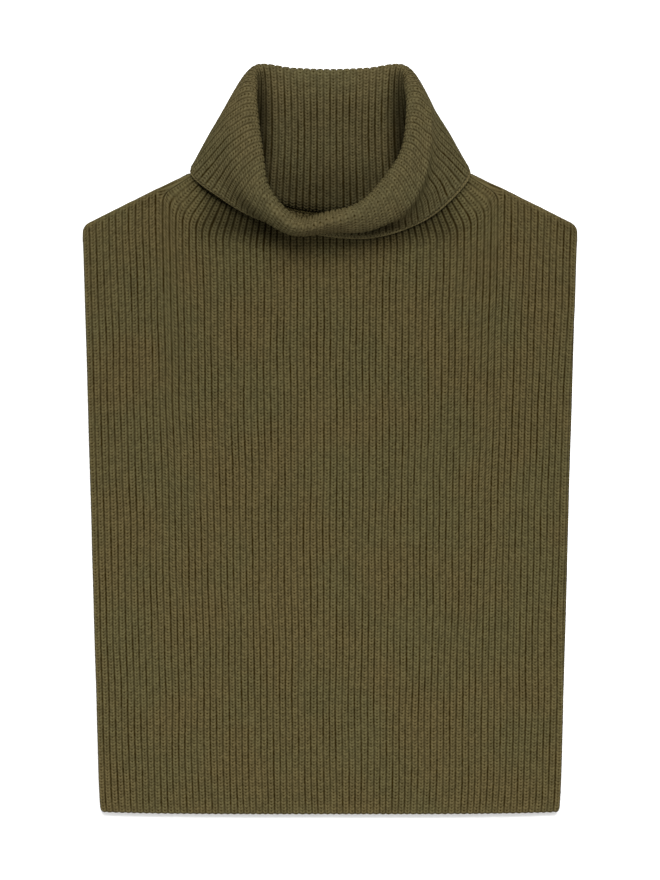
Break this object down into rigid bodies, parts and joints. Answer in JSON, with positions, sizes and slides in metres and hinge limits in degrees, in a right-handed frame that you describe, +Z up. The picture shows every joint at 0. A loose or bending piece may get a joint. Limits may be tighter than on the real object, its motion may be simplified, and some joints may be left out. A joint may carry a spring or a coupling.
{
  "type": "neck gaiter",
  "caption": "Ribbed-knit roll-neck dickey laid flat: a turned-down roll collar on a front and a back panel that join at the shoulders and are open at the sides.",
  "frame": {"origin": "centre of the footprint, on the surface that the garment lies on", "axes": "+X across to the right shoulder as seen from above, +Y from the hem to the collar, +Z up off the surface"},
  "size_m": [0.3796, 0.5751, 0.0481],
  "materials": {
    "front_panel": "matte",
    "back_panel": "matte",
    "collar_knit": "matte",
    "edge_yarn": "matte",
    "seam_yarn": "matte"
  },
  "bodies": {
    "root": {"back_panel": "back_panel", "front_panel_upper": "front_panel", "shoulder_seam_right": "seam_yarn", "shoulder_seam_left": "seam_yarn", "neck_seam": "seam_yarn"},
    "front": {"front_panel": "front_panel"},
    "collar": {"collar_stand": "collar_knit", "collar_turnover": "collar_knit", "collar_edge": "edge_yarn", "collar_closing_seam": "seam_yarn"}
  },
  "joints": [
    {"name": "front_panel_lift", "type": "hinge", "parent": "root", "child": "front", "pos_m": [0, 0.1455, 0.0083], "axis": [-1, 0, 0], "range_deg": [0, 90]},
    {"name": "collar_pull_up", "type": "slide", "parent": "root", "child": "collar", "axis": [0, 0.866, 0.5], "range_m": [0, 0.03], "stiffness_N_per_m": 60}
  ]
}
